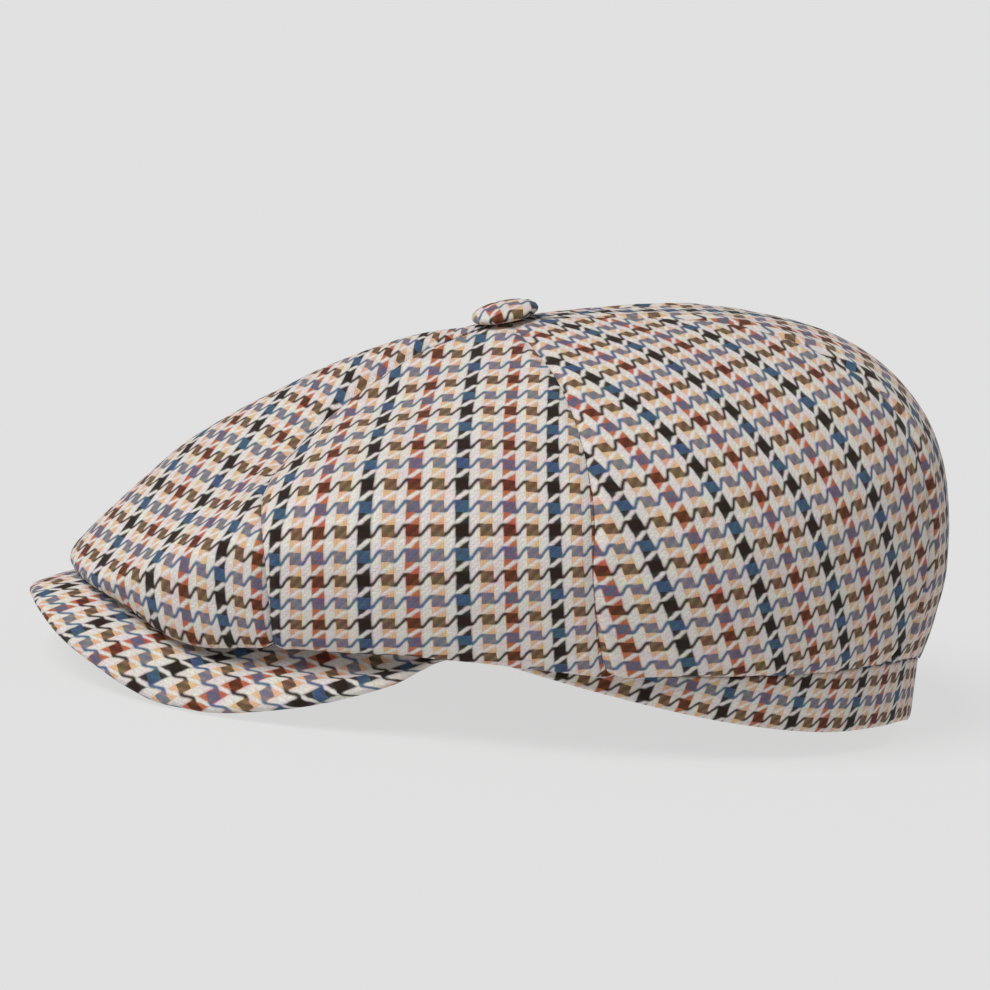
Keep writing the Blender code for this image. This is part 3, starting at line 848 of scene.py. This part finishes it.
def weave(tree, uv):
    """The woven colour, the threads' height, where warp is on top, and the number of the thread on top."""
    u, v = wandering_threads(tree, uv)
    warp_colour, warp_white = stripes(tree, u, WARP)
    weft_colour, weft_white = stripes(tree, v, WEFT)
    star = warp_white.rest() * weft_white.rest()
    one_white = (star * -STAR_EDGE + STAR_EDGE).held() * (warp_white * weft_white).rest()

    # The twill's lines bend into the stars at both ends
    bend_u = ((u - STRIPE_MIDDLE) * (math.pi / 2)).sine() * warp_white * weft_white.rest()
    bend_v = ((v - STRIPE_MIDDLE) * (math.pi / 2)).sine() * weft_white * warp_white.rest()
    slant = u - v + (bend_u - bend_v) * TWILL_BEND + TWILL_OFFSET

    # From 0 in the middle of a line where the warp is on top, to 2 in the middle of one where the weft is.
    # Where just one of the two threads is white, each second line of weft is left out
    twill = (slant.modulo(TWILL_REPEAT) - TWILL_REPEAT / 2).size()
    teeth = ((slant.modulo(STRIPE_REPEAT) - STRIPE_REPEAT / 2).size() * -0.5 + 1.0).held() * 2.0
    from_line = mix_term(one_white, twill, teeth)
    on_top = from_line.below(1.0)
    across = mix_term(on_top, v.part(), u.part())
    height = ((across * math.pi).sine() * (from_line * (math.pi / 2)).cosine().size()).power(0.5)
    number = mix_term(on_top, v.floor(), u.floor())

    ragged = Term(tree, grain(tree, uv, "ragged").outputs[0]) - 0.5
    edge = from_line + ragged * RAGGED - (warp_white - weft_white) * WHITE_FULLER
    warp_over = edge.times_plus(-1.0 / TWILL_SOFT, 1.0 / TWILL_SOFT + 0.5).held()
    in_star = (star * STAR_CORE - (STAR_CORE - 1.0)).held()
    shows = in_star * SHOWS_COLOUR + SHOWS_THROUGH
    warp_share = (warp_over * (shows * -2.0 + 1.0) + shows) * (in_star * -WEFT_FULLER + 1.0)
    return mix_colour(tree, warp_share, weft_colour, warp_colour), height, on_top, number


def tinted(tree, uv, colour):
    """The colour with a slow drift of hue and a tint."""
    drift = Term(tree, grain(tree, uv, "hue").outputs[0]) * HUE_DRIFT + HUE_LEAST
    shift = tree.nodes.new("ShaderNodeHueSaturation")
    tree.links.new(drift.socket, shift.inputs["Hue"])
    tree.links.new(colour, shift.inputs["Color"])
    tint = grain(tree, uv, "pastel").outputs["Color"]
    return mix_colour(tree, PASTEL, shift.outputs[0], tint, "SOFT_LIGHT")


def toned_and_shaded(tree, uv, colour, height, on_top, number):
    """The colour with each thread's own tone, the yarn's mottle, painted shade between threads and painted
    light on top of each.
    """
    thread = tree.nodes.new("ShaderNodeCombineXYZ")
    tree.links.new(number.socket, thread.inputs[0])
    tree.links.new(on_top.socket, thread.inputs[1])
    chance = tree.nodes.new("ShaderNodeTexWhiteNoise")
    chance.noise_dimensions = "2D"
    tree.links.new(thread.outputs[0], chance.inputs["Vector"])
    mottle = Term(tree, grain(tree, uv, "mottle").outputs[0])
    tone = Term(tree, chance.outputs["Value"]) * TONE_BY_THREAD + mottle * TONE_BY_MOTTLE + TONE_LEAST
    # Painted shade between threads and painted light on top of each, by the thread's height
    tone = tone * (height * LIGHT_ON_THREAD_TOP + SHADE_BETWEEN_THREADS)
    shade = tree.nodes.new("ShaderNodeCombineColor")
    for slot in range(3):
        tree.links.new(tone.socket, shade.inputs[slot])
    return mix_colour(tree, 1.0, colour, shade.outputs[0], "MULTIPLY")


def cloth_material():
    material = bpy.data.materials.new("houndstooth_wool")
    material.use_nodes = True
    tree = material.node_tree
    shader = tree.nodes["Principled BSDF"]
    cloth = tree.nodes.new("ShaderNodeUVMap")
    cloth.uv_map = "cloth"
    uv = cloth.outputs[0]
    colour, height, on_top, number = weave(tree, uv)
    colour = toned_and_shaded(tree, uv, tinted(tree, uv, colour), height, on_top, number)
    tree.links.new(colour, shader.inputs["Base Color"])

    relief = height + Term(tree, grain(tree, uv, "fuzz").outputs[0]) * FUZZ
    bump = tree.nodes.new("ShaderNodeBump")
    bump.inputs["Strength"].default_value = BUMP_STRENGTH
    bump.inputs["Distance"].default_value = BUMP_DEPTH
    tree.links.new(relief.socket, bump.inputs["Height"])
    tree.links.new(bump.outputs[0], shader.inputs["Normal"])
    shader.inputs["Roughness"].default_value = 0.92
    shader.inputs["Specular IOR Level"].default_value = 0.1
    shader.inputs["Sheen Weight"].default_value = 0.1
    shader.inputs["Sheen Roughness"].default_value = 0.5
    return material


# Camera
PICTURE = 990  # pixels across and down
PIXELS_PER_METRE = 3300.0
AZIMUTH, ELEVATION, ROLL = math.radians(78.0), math.radians(10.5), math.radians(6.3)
DISTANCE = 1.4
TARGET = Vector((0.0, 0.0015, 0.055))
TARGET_SHOWS_AT = (505, 509)  # pixels from the picture's left and top
SENSOR = 36.0  # mm


def add_camera():
    level = Vector((math.cos(AZIMUTH), math.sin(AZIMUTH), 0.0))
    outward = Vector((math.sin(AZIMUTH), -math.cos(AZIMUTH), 0.0))
    back = outward * math.cos(ELEVATION) + Vector((0.0, 0.0, math.sin(ELEVATION)))
    rise = back.cross(level)
    right = level * math.cos(ROLL) + rise * math.sin(ROLL)
    up = rise * math.cos(ROLL) - level * math.sin(ROLL)
    place = TARGET + back * DISTANCE
    off_right, off_down = ((pixel - PICTURE / 2) / PIXELS_PER_METRE for pixel in TARGET_SHOWS_AT)
    aim = TARGET - right * off_right + up * off_down
    back = (place - aim).normalized()
    right = up.cross(back).normalized()
    up = back.cross(right)
    data = bpy.data.cameras.new("camera")
    data.sensor_width = SENSOR
    data.lens = SENSOR * DISTANCE * PIXELS_PER_METRE / PICTURE
    data.clip_start, data.clip_end = 0.05, 60.0
    camera = bpy.data.objects.new("camera", data)
    turn = Matrix((right, up, back)).transposed().to_4x4()
    camera.matrix_world = Matrix.Translation(place) @ turn
    bpy.context.scene.collection.objects.link(camera)
    bpy.context.scene.camera = camera


# Floor and light
FLOOR_HALF = 25.0
FLOOR_GREY, FLOOR_GLOW = 0.134, 0.628
WORLD_GREY = 0.32
KEY_STRENGTH, KEY_ANGLE = 2.35, math.radians(35)
KEY_TOWARDS = (0.55, -0.85, 1.35)


def grey(value):
    return (value, value, value, 1.0)


def add_floor():
    mesh = bpy.data.meshes.new("floor")
    corners = [(x * FLOOR_HALF, y * FLOOR_HALF, 0) for x, y in ((-1, -1), (1, -1), (1, 1), (-1, 1))]
    mesh.from_pydata(corners, [], [(0, 1, 2, 3)])
    material = bpy.data.materials.new("floor")
    material.use_nodes = True
    shader = material.node_tree.nodes["Principled BSDF"]
    shader.inputs["Base Color"].default_value = grey(FLOOR_GREY)
    shader.inputs["Emission Color"].default_value = grey(FLOOR_GLOW)
    shader.inputs["Emission Strength"].default_value = 1.0
    shader.inputs["Roughness"].default_value = 0.95
    shader.inputs["Specular IOR Level"].default_value = 0.0
    mesh.materials.append(material)
    floor = bpy.data.objects.new("floor", mesh)
    bpy.context.scene.collection.objects.link(floor)


def add_light():
    world = bpy.data.worlds.new("studio")
    world.use_nodes = True
    background = world.node_tree.nodes["Background"]
    background.inputs[0].default_value = grey(WORLD_GREY)
    background.inputs[1].default_value = 1.0
    bpy.context.scene.world = world

    lamp = bpy.data.lights.new("key", "SUN")
    lamp.energy = KEY_STRENGTH
    lamp.angle = KEY_ANGLE
    key = bpy.data.objects.new("key", lamp)
    key.rotation_euler = Vector(KEY_TOWARDS).to_track_quat("Z", "Y").to_euler()
    bpy.context.scene.collection.objects.link(key)


def dress(obj, node, material):
    obj.data.materials.append(material)
    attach(obj, "root")
    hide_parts(node)


add_camera()
add_floor()
add_light()
wool = cloth_material()
PANELS = {
    "front_panel": (-FRONT, FRONT),
    "left_front_panel": (FRONT, SIDE),
    "left_rear_panel": (SIDE, REAR),
    "back_panel": (REAR, 360 - REAR),
    "right_rear_panel": (-REAR, -SIDE),
    "right_front_panel": (-SIDE, -FRONT),
}
SEED_STEP = 11.0
for number, (node, (start, end)) in enumerate(PANELS.items()):
    dress(panel(node, start, end, SEED_STEP * number), node, wool)
dress(band(), "band", wool)
dress(peak(), "peak", wool)
dress(button(), "button", wool)
bpy.context.scene.view_settings.view_transform = "Standard"

bpy.context.view_layer.update()
